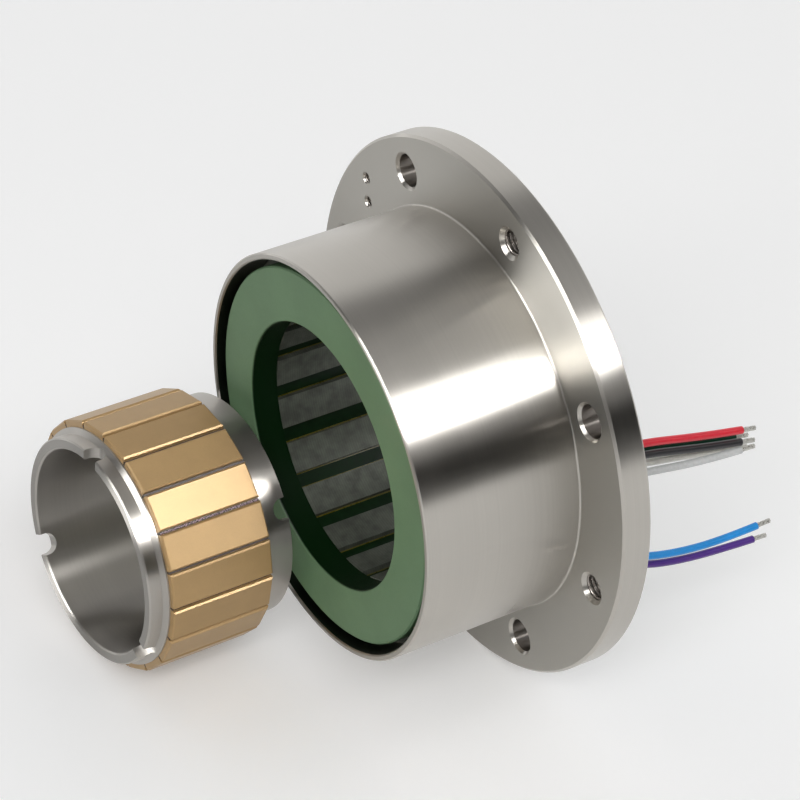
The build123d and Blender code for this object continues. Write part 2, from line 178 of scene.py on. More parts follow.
class MotorLeads(PropertyGroup):
    """Sizes and jacket colours of the lead wires."""

    diameter: length("Lead diameter", "Outer diameter of each lead", 1.5)
    tip: length("Tinned tip", "Length of bare wire at the end of each lead", 3.0)
    strand: length("Strand radius", "Radius of one strand of the bare wire", 0.17)
    red: colour("Red jacket", "Upper bunch, topmost", 226, 34, 54)
    green: colour("Green jacket", "Upper bunch, behind the red", 12, 74, 52)
    black: colour("Black jacket", "Upper bunch, middle", 24, 22, 26)
    white: colour("White jacket", "Upper bunch, below", 236, 234, 226)
    grey: colour("Grey jacket", "Upper bunch, lowest", 208, 209, 208)
    blue: colour("Blue jacket", "Lower pair, above", 16, 150, 232)
    violet: colour("Violet jacket", "Lower pair, below", 82, 34, 138)
    tinned: colour("Tinned wire", "Bare wire at the end of each lead", 206, 204, 198)


class MotorThreads(PropertyGroup):
    """Sizes of the threads in the tapped holes."""

    jack_radius: length("Jack hole radius", "Radius of the jack-screw holes", 2.5)
    jack_pitch: length("Jack screw pitch", "Pitch of the jack-screw thread", 0.8)
    small_radius: length("Small hole radius", "Radius of the pair of small holes", 1.025)
    small_pitch: length("Small screw pitch", "Pitch of the small thread", 0.45)
    jack_chamfer: length("Jack hole chamfer", "Depth of the chamfer at both ends", 0.7)
    small_chamfer: length("Small hole chamfer", "Depth of the chamfer at the mouth", 0.3)
    small_depth: length("Small thread depth", "How deep the small thread goes", 3.7)


class MotorAdhesive(PropertyGroup):
    """The adhesive squeezed out between two of the magnets."""

    bead: colour("Bead", "Cured beads of adhesive", 176, 148, 158)
    bead_radius: length("Bead radius", "Radius of one bead", 0.15)
    wander: length("Wander", "How far a bead lies off the line of the gap", 0.16)
    gap_angle: FloatProperty(
        name="Gap angle",
        description="Where the gap lies round the rotor, counted from its right side upwards",
        subtype="ANGLE",
        default=radians(37.7),
    )
    count: IntProperty(name="Beads", description="Number of beads in the gap", min=0, default=110)
    seed: IntProperty(name="Seed", description="Fixed seed of the beads' places", min=0, default=7)


class MotorStage(PropertyGroup):
    """Floor, lamps and surroundings."""

    floor: colour("Floor", "Colour of the pale floor", 236, 236, 236)
    floor_level: FloatProperty(
        name="Floor level",
        description="Height of the floor, which the flange's rim stands on",
        subtype="DISTANCE",
        unit="LENGTH",
        default=-0.0525,
    )
    soft_box: power("Soft box", "Power of the soft box, which lights matt surfaces", 4.7)
    front_box: power("Front box", "Power of the box in front, which metal mirrors", 22.5)
    rotor_key: power("Rotor key", "Power of the narrow lamp that the rotor mirrors", 0.135)


# Shader nodes


def put(tree, kind, inputs=None, **settings):
    """Adds a node. Each input is a value, or another node's socket to join to it."""
    made = tree.nodes.new(kind)
    for name, value in settings.items():
        setattr(made, name, value)
    for name, value in (inputs or {}).items():
        if isinstance(value, bpy.types.NodeSocket):
            tree.links.new(value, made.inputs[name])
        else:
            made.inputs[name].default_value = value
    return made


def reckon(tree, operation, first, second=0.0):
    return put(tree, "ShaderNodeMath", {0: first, 1: second}, operation=operation).outputs[0]


def weighted(tree, first, first_share, second, second_share):
    """The sum of two values, each times its share."""
    return reckon(
        tree, "ADD",
        reckon(tree, "MULTIPLY", first, first_share),
        reckon(tree, "MULTIPLY", second, second_share),
    )


def vector_sum(tree, operation, first, second):
    node = put(tree, "ShaderNodeVectorMath", {0: first, 1: second}, operation=operation)
    return node.outputs["Value" if operation in ("DOT_PRODUCT", "LENGTH") else "Vector"]


def spread(tree, value, low, high, new_low, new_high):
    """Spreads a value between low and high over new_low to new_high."""
    return put(
        tree,
        "ShaderNodeMapRange",
        {"Value": value, "From Min": low, "From Max": high, "To Min": new_low, "To Max": new_high},
    ).outputs["Result"]


def over_noise(tree, noise, new_low, new_high):
    """Spreads a noise, which lies mostly between 0.3 and 0.7."""
    return spread(tree, noise, 0.3, 0.7, new_low, new_high)


def radius_from_axis(tree, place):
    """The distance from the motor's axis, which is the Y axis."""
    apart = put(tree, "ShaderNodeSeparateXYZ", {0: place}).outputs
    flat = put(tree, "ShaderNodeCombineXYZ", {"X": apart["X"], "Z": apart["Z"]}).outputs[0]
    return vector_sum(tree, "LENGTH", flat, (0, 0, 0))


def blend_colours(tree, share, first, second):
    """Colours are linear triples or sockets."""
    values = {0: share}
    for index, paint in ((6, first), (7, second)):
        values[index] = paint if isinstance(paint, bpy.types.NodeSocket) else (*paint, 1)
    return put(tree, "ShaderNodeMix", values, data_type="RGBA").outputs[2]


def scaled(paint, factor):
    return tuple(min(1.0, part * factor) for part in paint)


def mottling(tree, place, scale, detail=3.0):
    """Noise of about one patch in each 1/scale metres."""
    inputs = {"Vector": place, "Scale": scale, "Detail": detail}
    return put(tree, "ShaderNodeTexNoise", inputs).outputs[0]


def raise_surface(tree, height, strength, depth):
    inputs = {"Height": height, "Strength": strength, "Distance": depth}
    return put(tree, "ShaderNodeBump", inputs).outputs["Normal"]


def label(words):
    return words.replace("_", " ").title()


def socket_name(words):
    return label(words).replace("Ior", "IOR")


def new_finish(name, metallic=0.0, **sockets):
    """A material with its tree, shader and Object coordinates."""
    finish = bpy.data.materials.new(name)
    finish.use_nodes = True
    tree = finish.node_tree
    shader = tree.nodes["Principled BSDF"]
    shader.inputs["Metallic"].default_value = metallic
    for socket, value in sockets.items():
        shader.inputs[socket_name(socket)].default_value = value
    place = put(tree, "ShaderNodeTexCoord").outputs["Object"]
    return finish, tree, shader, place


def join(tree, shader, **sockets):
    for socket, value in sockets.items():
        tree.links.new(value, shader.inputs[socket_name(socket)])


def turned_steel(name, paint, centre, axis, roughness, line_depth, zones=()):
    """Steel from the lathe: fine rings round the axis, and gloss drawn out across them.

    Each zone is a colour, the two radii it lies between, and whether it is on the end
    faces or on the walls along the axis.
    """
    finish, tree, shader, place = new_finish(
        name, metallic=1.0, anisotropic=1.0, anisotropic_rotation=0.25
    )
    from_centre = vector_sum(tree, "SUBTRACT", place, centre)
    along = vector_sum(tree, "DOT_PRODUCT", from_centre, axis)
    drop = put(tree, "ShaderNodeVectorMath", {0: axis, "Scale": along}, operation="SCALE")
    sideways = vector_sum(tree, "SUBTRACT", from_centre, drop.outputs["Vector"])
    radius = vector_sum(tree, "LENGTH", sideways, (0, 0, 0))
    rings = put(tree, "ShaderNodeCombineXYZ", {"X": along, "Y": radius}).outputs[0]
    fine = mottling(tree, rings, 2600)
    coarse = mottling(tree, rings, 420, 2)
    hazy = mottling(tree, place, 60)
    grain = mottling(tree, place, 2400, 2)
    lines = weighted(tree, fine, 0.65, coarse, 0.35)
    relief = reckon(tree, "ADD", lines, reckon(tree, "MULTIPLY", grain, 0.6))
    tone = blend_colours(
        tree, over_noise(tree, lines, 0, 1), scaled(paint, 0.97), scaled(paint, 1.03)
    )
    polish = over_noise(tree, lines, roughness - 0.015, roughness + 0.02)
    gloss = reckon(tree, "ADD", polish, over_noise(tree, hazy, -0.015, 0.02))
    facing = tree.nodes["Texture Coordinate"].outputs["Normal"]
    end_facing = reckon(tree, "ABSOLUTE", vector_sum(tree, "DOT_PRODUCT", facing, axis))
    on_wall = spread(tree, end_facing, 0.2, 0.4, 1, 0)
    on_face = spread(tree, end_facing, 0.85, 0.95, 0, 1)
    for zone_paint, (inner, outer), at_end in zones:
        beyond = spread(tree, radius, inner, inner + ZONE_EDGE, 0, 1)
        within = spread(tree, radius, outer - ZONE_EDGE, outer, 1, 0)
        between = reckon(tree, "MULTIPLY", beyond, within)
        share = reckon(tree, "MULTIPLY", between, on_face if at_end else on_wall)
        tone = blend_colours(tree, share, tone, zone_paint)
    outward = vector_sum(tree, "ADD", from_centre, facing)
    round_axis = vector_sum(tree, "CROSS_PRODUCT", axis, outward)
    tangent = put(
        tree, "ShaderNodeVectorTransform", {"Vector": round_axis},
        vector_type="VECTOR", convert_from="OBJECT", convert_to="WORLD",
    ).outputs[0]
    join(
        tree, shader, base_color=tone, roughness=gloss, tangent=tangent,
        normal=raise_surface(tree, relief, 0.1, line_depth),
    )
    return finish


def laminated_steel(name, paint):
    """Stacked sheets seen on edge under a thin, patchy varnish."""
    finish, tree, shader, place = new_finish(
        name, metallic=0.55, coat_weight=0.15, coat_roughness=0.3
    )
    sheets = put(
        tree, "ShaderNodeTexWave", {"Vector": place, "Scale": 630.0, "Distortion": 0.4},
        wave_type="BANDS", bands_direction="Y",
    ).outputs[0]
    patches = mottling(tree, place, 420, 4)
    specks = mottling(tree, place, 2200, 2)
    patchiness = spread(tree, patches, 0.35, 0.65, 0, 1)
    varnish = blend_colours(tree, patchiness, scaled(paint, 0.72), scaled(paint, 1.15))
    tone = blend_colours(tree, spread(tree, sheets, 0, 1, 0.0, 0.22), varnish, scaled(paint, 0.4))
    join(
        tree, shader, base_color=tone,
        roughness=over_noise(tree, specks, 0.38, 0.56),
        normal=raise_surface(tree, sheets, 0.3, 0.00003),
    )
    return finish


def moulded_resin(name, face, bore, bore_edge):
    """Satin moulding, whose bore is coloured much darker as painted shade."""
    finish, tree, shader, place = new_finish(name, specular_ior_level=0.15)
    radius = radius_from_axis(tree, place)
    grain = mottling(tree, place, 3200, 2)
    cloud = mottling(tree, place, 90)
    skin = blend_colours(
        tree, over_noise(tree, cloud, 0, 1), scaled(face, 0.94), scaled(face, 1.05)
    )
    # Painted shade over the bore, inside the edge radii
    within = spread(tree, radius, *bore_edge, 1, 0)
    tone = blend_colours(tree, within, skin, bore)
    join(
        tree, shader, base_color=tone,
        roughness=over_noise(tree, grain, 0.42, 0.52),
        normal=raise_surface(tree, grain, 0.12, 0.00004),
    )
    return finish


def speckled(name, paint, scale, roughness, depth, metallic=0.0, contrast=0.2, **sockets):
    """A plain body colour with fine variation in tone, gloss and height.

    The scale is about how many specks a metre holds, and the depth is theirs in metres.
    """
    finish, tree, shader, place = new_finish(name, metallic=metallic, **sockets)
    grain = mottling(tree, place, scale)
    cloud = mottling(tree, place, scale / 12)
    share = spread(tree, weighted(tree, grain, 0.5, cloud, 0.5), 0.35, 0.65, 0, 1)
    tone = blend_colours(tree, share, scaled(paint, 1 - contrast), scaled(paint, 1 + contrast))
    join(
        tree, shader, base_color=tone,
        roughness=over_noise(tree, grain, roughness - 0.06, roughness + 0.06),
        normal=raise_surface(tree, grain, 0.2, depth),
    )
    return finish


def wound_copper(name, paint):
    """Enamelled wire in layers, its turns as ribs along the radius, with painted shade between the turns."""
    finish, tree, shader, place = new_finish(
        name, metallic=1.0, coat_weight=0.4, coat_roughness=0.12
    )
    radius = radius_from_axis(tree, place)
    outward = put(tree, "ShaderNodeCombineXYZ", {"X": radius}).outputs[0]
    turns = put(
        tree, "ShaderNodeTexWave", {"Vector": outward, "Scale": 500.0},
        wave_type="BANDS", bands_direction="X",
    ).outputs[0]
    patches = mottling(tree, place, 500)
    tone = blend_colours(tree, patches, scaled(paint, 0.7), scaled(paint, 1.2))
    # Painted shade: each turn darkens to a quarter of the copper towards the creases between turns
    shaded = blend_colours(tree, turns, scaled(paint, 0.25), tone)
    join(
        tree, shader, base_color=shaded,
        roughness=over_noise(tree, patches, 0.25, 0.4),
        normal=raise_surface(tree, turns, 0.8, 0.0002),
    )
    return finish


def dress(finish, *names):
    """Puts a finish on CAD nodes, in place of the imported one."""
    for name in names:
        mesh = frame["nodes"][name].data
        mesh.materials.clear()
        mesh.materials.append(finish)


def nodes_named(*starts):
    return sorted(name for name in frame["nodes"] if name.startswith(starts))


# Geometry nodes


def new_tree(name, **inputs):
    """A geometry tree with named inputs, a group input node and an output."""
    tree = bpy.data.node_groups.new(name, "GeometryNodeTree")
    sockets = tree.interface
    for socket, kind in inputs.items():
        sockets.new_socket(name=label(socket), in_out="INPUT", socket_type="NodeSocket" + kind)
    sockets.new_socket(name="Geometry", in_out="OUTPUT", socket_type="NodeSocketGeometry")
    return tree, put(tree, "NodeGroupInput").outputs


def close_tree(tree, geometry, finish):
    """Ends a tree in Realize Instances and Set Material."""
    real = put(tree, "GeometryNodeRealizeInstances", {"Geometry": geometry}).outputs[0]
    painted = put(tree, "GeometryNodeSetMaterial", {"Geometry": real, "Material": finish})
    put(tree, "NodeGroupOutput", {"Geometry": painted.outputs[0]})


def spiral(tree, steps, turns, radius, height):
    """A helix up from the origin, with so many steps in each turn."""
    return put(
        tree, "GeometryNodeCurveSpiral",
        {
            "Resolution": steps, "Rotations": turns, "Start Radius": radius,
            "End Radius": radius, "Height": height,
        },
    ).outputs[0]


def round_section(tree, sides, radius):
    inputs = {"Resolution": sides, "Radius": radius}
    return put(tree, "GeometryNodeCurvePrimitiveCircle", inputs).outputs[0]


def swept(tree, line, section):
    """A section swept along a line, closed at both ends."""
    inputs = {"Curve": line, "Profile Curve": section, "Fill Caps": True}
    return put(tree, "GeometryNodeCurveToMesh", inputs).outputs[0]


def repeated(tree, points, shape, **further):
    """A shape at each of some points."""
    inputs = {"Points": points, "Instance": shape}
    inputs.update((label(name), value) for name, value in further.items())
    return put(tree, "GeometryNodeInstanceOnPoints", inputs).outputs[0]


def grown(name, tree, body, slot, points=(), **values):
    """Runs a tree on some points, keeps the plain mesh and lets it ride on a body."""
    seed = bpy.data.meshes.new(name + "_points")
    seed.from_pydata(points, [], [])
    holder = bpy.data.objects.new(name + "_holder", seed)
    modifier = holder.modifiers.new(name, "NODES")
    modifier.node_group = tree
    labelled = {label(socket): value for socket, value in values.items()}
    for item in tree.interface.items_tree:
        if item.in_out == "INPUT" and item.name in labelled:
            modifier[item.identifier] = labelled[item.name]
    bpy.context.scene.collection.objects.link(holder)
    evaluated = holder.evaluated_get(bpy.context.evaluated_depsgraph_get())
    mesh = bpy.data.meshes.new_from_object(evaluated)
    holder.modifiers.remove(modifier)
    bpy.data.objects.remove(holder)
    piece = bpy.data.objects.new(name, mesh)
    bpy.context.scene.collection.objects.link(piece)
    for polygon in mesh.polygons:
        polygon.use_smooth = True
    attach(piece, body)
    return piece


def thread_tree():
    """A ridge wound inside each hole, whose centre is a point."""
    tree, given = new_tree(
        "Tapped Thread", geometry="Geometry", hole_radius="Float", pitch="Float",
        ridge_radius="Float", depth="Float", finish="Material",
    )
    turns = reckon(tree, "DIVIDE", given["Depth"], given["Pitch"])
    helix = spiral(tree, 28, turns, given["Hole Radius"], given["Depth"])
    ridge = swept(tree, helix, round_section(tree, 6, given["Ridge Radius"]))
    turned = put(
        tree, "GeometryNodeTransform", {"Geometry": ridge, "Rotation": (-pi / 2, 0, 0)}
    ).outputs[0]
    close_tree(tree, repeated(tree, given["Geometry"], turned), given["Finish"])
    return tree


def strand_tree():
    """Six strands laid round a seventh, from a point along a direction."""
    tree, given = new_tree(
        "Twisted Strands", start="Vector", turn="Vector", length="Float",
        strand_radius="Float", twist="Float", finish="Material",
    )
    lay_radius = reckon(tree, "MULTIPLY", given["Strand Radius"], STRAND_LAY)
    helix = spiral(tree, 16, given["Twist"], lay_radius, given["Length"])
    section = round_section(tree, 8, given["Strand Radius"])
    outer = swept(tree, helix, section)
    spots = put(tree, "GeometryNodePoints", {"Count": 6}).outputs[0]
    index = put(tree, "GeometryNodeInputIndex").outputs[0]
    angle = reckon(tree, "MULTIPLY", index, pi / 3)
    turning = put(tree, "ShaderNodeCombineXYZ", {"Z": angle}).outputs[0]
    ring = repeated(tree, spots, outer, rotation=turning)
    far = put(tree, "ShaderNodeCombineXYZ", {"Z": given["Length"]}).outputs[0]
    middle = put(tree, "GeometryNodeCurvePrimitiveLine", {"End": far}).outputs[0]
    core = swept(tree, middle, section)
    joined = put(tree, "GeometryNodeJoinGeometry")
    tree.links.new(ring, joined.inputs[0])
    tree.links.new(core, joined.inputs[0])
    placed = put(
        tree, "GeometryNodeTransform",
        {"Geometry": joined.outputs[0], "Translation": given["Start"], "Rotation": given["Turn"]},
    ).outputs[0]
    close_tree(tree, placed, given["Finish"])
    return tree


def bead_tree():
    """Beads of squeezed-out adhesive along a line, uneven in place and size."""
    tree, given = new_tree(
        "Adhesive Beads", start="Vector", end="Vector", count="Int", bead_radius="Float",
        wander="Float", seed="Int", finish="Material",
    )
    ends = {"Start": given["Start"], "End": given["End"]}
    line = put(tree, "GeometryNodeCurvePrimitiveLine", ends).outputs[0]
    spots = put(
        tree, "GeometryNodeCurveToPoints", {"Curve": line, "Count": given["Count"]}
    ).outputs[0]
    least, most = (
        put(
            tree, "ShaderNodeVectorMath", {0: (way, way, way), "Scale": given["Wander"]},
            operation="SCALE",
        ).outputs["Vector"]
        for way in (-1, 1)
    )
    stray = put(
        tree, "FunctionNodeRandomValue", {0: least, 1: most, "Seed": given["Seed"]},
        data_type="FLOAT_VECTOR",
    ).outputs[0]
    strewn = put(tree, "GeometryNodeSetPosition", {"Geometry": spots, "Offset": stray}).outputs[0]
    size = put(
        tree, "FunctionNodeRandomValue", {2: 0.55, 3: 1.25, "Seed": given["Seed"]},
        data_type="FLOAT",
    ).outputs[1]
    bead = put(
        tree, "GeometryNodeMeshIcoSphere", {"Radius": given["Bead Radius"], "Subdivisions": 2}
    ).outputs[0]
    close_tree(tree, repeated(tree, strewn, bead, scale=size), given["Finish"])
    return tree


# Pieces

# Lead routes, in millimetres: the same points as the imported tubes
LEAD_ROUTES = {
    "red": [
        (33.2, 5.5, 7.0), (33.2, 11.5, 7.0), (33.5, 18.5, 6.1),
        (33.6, 26.0, 4.2), (33.9, 33.0, 2.7), (34.1, 39.0, 1.6),
    ],
    "green": [
        (31.5, 5.5, 4.9), (31.5, 11.5, 4.9), (31.7, 18.5, 3.6),
        (31.7, 26.0, 1.5), (31.9, 33.0, 0.0), (32.1, 39.0, -1.2),
    ],
    "black": [
        (33.5, 5.5, 4.4), (33.5, 11.5, 4.4), (33.5, 18.5, 3.5),
        (33.6, 26.0, 1.6), (33.8, 33.0, 0.0), (34.1, 39.0, -1.1),
    ],
    "white": [
        (31.5, 5.5, 1.3), (31.5, 11.5, 1.3), (31.7, 18.5, 0.2),
        (31.7, 26.0, -1.3), (31.9, 33.0, -2.6), (32.1, 39.0, -3.8),
    ],
    "grey": [
        (33.4, 5.5, 0.3), (33.4, 11.5, 0.3), (33.6, 18.5, -0.5),
        (33.8, 26.0, -1.8), (34.1, 33.0, -2.5), (34.3, 39.0, -2.8),
    ],
    "blue": [
        (24.9, 5.5, -21.2), (24.9, 11.0, -21.2), (27.6, 17.0, -23.6), (29.1, 23.5, -25.2),
        (29.6, 31.0, -26.6), (29.8, 40.0, -27.3), (30.0, 48.0, -26.9),
    ],
    "violet": [
        (23.2, 5.5, -23.0), (23.2, 11.0, -23.0), (26.4, 17.0, -25.7), (28.3, 23.5, -27.8),
        (28.8, 31.0, -29.3), (29.0, 40.0, -30.3), (29.2, 48.0, -30.7),
    ],
}


class MOTOR_OT_leads(Operator):
    """Make the seven lead wires and their tinned tips"""

    bl_idname = "motor.leads"
    bl_label = "Leads"

    def execute(self, context):
        sizes = context.scene.motor_leads
        tinned = speckled(
            "tinned_wire", sizes.tinned, scale=2500, roughness=0.3, depth=0.00003,
            metallic=1.0, contrast=0.12,
        )
        strands = strand_tree()
        for name, route in LEAD_ROUTES.items():
            points = [Vector(point) * MILLIMETRE for point in route]
            line = bpy.data.curves.new("lead_wire_" + name, "CURVE")
            line.dimensions = "3D"
            line.resolution_u = 8
            line.bevel_depth = sizes.diameter / 2
            line.bevel_resolution = 4
            line.use_fill_caps = True
            spline = line.splines.new("NURBS")
            spline.points.add(len(points) - 1)
            for control, point in zip(spline.points, points):
                control.co = (*point, 1)
            spline.order_u = 3
            spline.use_endpoint_u = True
            jacket = speckled(
                "jacket_" + name, getattr(sizes, name), scale=1800, roughness=0.36, depth=0.00002,
                contrast=0.07, coat_weight=0.2, coat_roughness=0.25,
            )
            line.materials.append(jacket)
            lead = bpy.data.objects.new("lead_wire_" + name, line)
            context.scene.collection.objects.link(lead)
            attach(lead, "stator")
            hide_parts("lead_" + name)
            heading = points[-1] - points[-2]
            tip = grown(
                "tinned_tip_" + name, strands, "stator", "lead_jacket_" + name,
                start=tuple(points[-1]), turn=tuple(heading.to_track_quat("Z", "Y").to_euler()),
                length=sizes.tip, strand_radius=sizes.strand, twist=STRAND_TURNS, finish=tinned,
            )
        return {"FINISHED"}


class MOTOR_OT_housing(Operator):
    """Give the housing its turned finish"""

    bl_idname = "motor.housing"
    bl_label = "Housing"

    def execute(self, context):
        paints = context.scene.motor_finishes
        finish = turned_steel(
            "turned_steel", paints.steel, motor_centre, motor_axis,
            roughness=0.3, line_depth=0.000004,
            zones=[
                # Painted shade on the sleeve's bore
                (paints.sleeve_bore_shade, SLEEVE_BORE, False),
                (paints.hole_steel, HOLE_CIRCLES, False),
                # Painted shade on the flange faces
                (paints.face_steel_shade, FLANGE_FACES, True),
            ],
        )
        dress(finish, "housing")
        return {"FINISHED"}


class MOTOR_OT_threads(Operator):
    """Wind the threads inside the jack-screw holes and the pair of small holes"""

    bl_idname = "motor.threads"
    bl_label = "Threads"

    def execute(self, context):
        sizes = context.scene.motor_threads
        mounts = {mount["name"]: mount for mount in frame["record"]["mounts"]}
        circle_radius = mounts["jack_screw_holes"]["dims"]["pcd_mm"] / 2 * MILLIMETRE
        pair_centre = Vector(mounts["small_holes"]["pos_m"])
        pair_radius = mounts["small_holes"]["dims"]["pcd_mm"] / 2 * MILLIMETRE
        jack_centres = [
            Vector((cos(angle), 0, sin(angle))) * circle_radius
            for angle in (radians(FIRST_JACK_ANGLE + 90 * index) for index in range(4))
        ]
        pair_line = Vector((cos(radians(PAIR_ANGLE)), 0, sin(radians(PAIR_ANGLE))))
        small_centres = [pair_centre + pair_line * side * pair_radius for side in (-1, 1)]
        paint = context.scene.motor_finishes.hole_steel
        finish = speckled(
            "thread_steel", paint, scale=2000, roughness=0.3, depth=0.00002, metallic=1.0
        )
        tree = thread_tree()
        flange_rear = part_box("housing")[1].y
        for name, centres, radius, pitch, front, rear in (
            ("jack_threads", jack_centres, sizes.jack_radius, sizes.jack_pitch,
             sizes.jack_chamfer, flange_rear - sizes.jack_chamfer),
            ("small_threads", small_centres, sizes.small_radius, sizes.small_pitch,
             sizes.small_chamfer, sizes.small_depth),
        ):
            grown(
                name, tree, "stator", "steel",
                points=[(centre.x, front, centre.z) for centre in centres],
                hole_radius=radius, pitch=pitch, ridge_radius=pitch * RIDGE_SHARE,
                depth=rear - front, finish=finish,
            )
        return {"FINISHED"}


class MOTOR_OT_core(Operator):
    """Finish the laminated core, its slot liners and wedges"""

    bl_idname = "motor.core"
    bl_label = "Core"

    def execute(self, context):
        paints = context.scene.motor_finishes
        dress(laminated_steel("varnished_laminations", paints.teeth), "stator_core")
        film = speckled(
            "amber_film", paints.film, scale=900, roughness=0.3, depth=0.00001,
            coat_weight=0.5, coat_roughness=0.15,
        )
        dress(film, "slot_liners")
        varnish = speckled(
            "varnished_wedge", paints.wedge, scale=700, roughness=0.4, depth=0.00004,
            contrast=0.35, specular_ior_level=0.2,
        )
        dress(varnish, "slot_wedges")
        return {"FINISHED"}


class MOTOR_OT_coils(Operator):
    """Finish the coils as layers of enamelled wire"""

    bl_idname = "motor.coils"
    bl_label = "Coils"

    def execute(self, context):
        copper = wound_copper("enamelled_copper", context.scene.motor_finishes.copper)
        dress(copper, *nodes_named("coil_"))
        return {"FINISHED"}


class MOTOR_OT_end_rings(Operator):
    """Finish the moulded end rings and the grommets"""

    bl_idname = "motor.end_rings"
    bl_label = "End rings"

    def execute(self, context):
        paints = context.scene.motor_finishes
        moulding = moulded_resin(
            "satin_moulding", paints.moulding, paints.moulding_bore_shade, RING_BORE_EDGE
        )
        dress(moulding, "front_end_ring", "rear_end_ring")
        rubber = speckled(
            "grommet_rubber", paints.rubber, scale=1400, roughness=0.6, depth=0.00005
        )
        dress(rubber, "upper_grommet", "lower_grommet")
        return {"FINISHED"}


class MOTOR_OT_board(Operator):
    """Finish the connection board and its position sensors"""

    bl_idname = "motor.board"
    bl_label = "Board"

    def execute(self, context):
        paints = context.scene.motor_finishes
        laminate = speckled(
            "board_laminate", paints.board, scale=1200, roughness=0.4, depth=0.00002,
            coat_weight=0.3, coat_roughness=0.2,
        )
        dress(laminate, "connection_board")
        package = speckled(
            "sensor_package", paints.sensor, scale=2400, roughness=0.5, depth=0.00002
        )
        dress(package, *nodes_named("position_sensor"))
        return {"FINISHED"}


class MOTOR_OT_rotor(Operator):
    """Finish the rotor hub, the magnets and their adhesive"""

    bl_idname = "motor.rotor"
    bl_label = "Rotor"

    def execute(self, context):
        paints = context.scene.motor_finishes
        steel = turned_steel(
            "turned_hub_steel", paints.hub_steel, rotor_centre, rotor_axis,
            roughness=0.36, line_depth=0.00001, zones=[(paints.hub_face, HUB_ENDS, True)],
        )
        dress(steel, "rotor_hub")
        coat = speckled(
            "magnet_coat", paints.magnet, scale=3500, roughness=0.45, depth=0.000004,
            metallic=0.35, contrast=0.05, coat_weight=0.3, coat_roughness=0.32,
        )
        dress(coat, *nodes_named("magnet_0", "magnet_1", "magnet_2"))
        adhesive = speckled(
            "cured_adhesive", paints.resin, scale=2600, roughness=0.55, depth=0.00008, contrast=0.5
        )
        dress(adhesive, "magnet_adhesive")
        return {"FINISHED"}


class MOTOR_OT_beads(Operator):
    """Lay the beads of adhesive in one gap between the magnets"""

    bl_idname = "motor.beads"
    bl_label = "Adhesive beads"

    def execute(self, context):
        beads = context.scene.motor_adhesive
        rearward = -rotor_axis
        side = rearward.cross((0, 0, 1)).normalized()
        outward = side * cos(beads.gap_angle) + side.cross(rearward) * sin(beads.gap_angle)
        start, end = (
            rotor_centre + rearward * behind_rim * MILLIMETRE + outward * BEAD_HEIGHT * MILLIMETRE
            for behind_rim in BEAD_RUN
        )
        cured = speckled(
            "adhesive_bead", beads.bead, scale=3000, roughness=0.4, depth=0.00005, contrast=0.35
        )
        grown(
            "adhesive_beads", bead_tree(), "rotor", "adhesive_resin",
            start=tuple(start), end=tuple(end), count=beads.count, bead_radius=beads.bead_radius,
            wander=beads.wander, seed=beads.seed, finish=cured,
        )
        return {"FINISHED"}


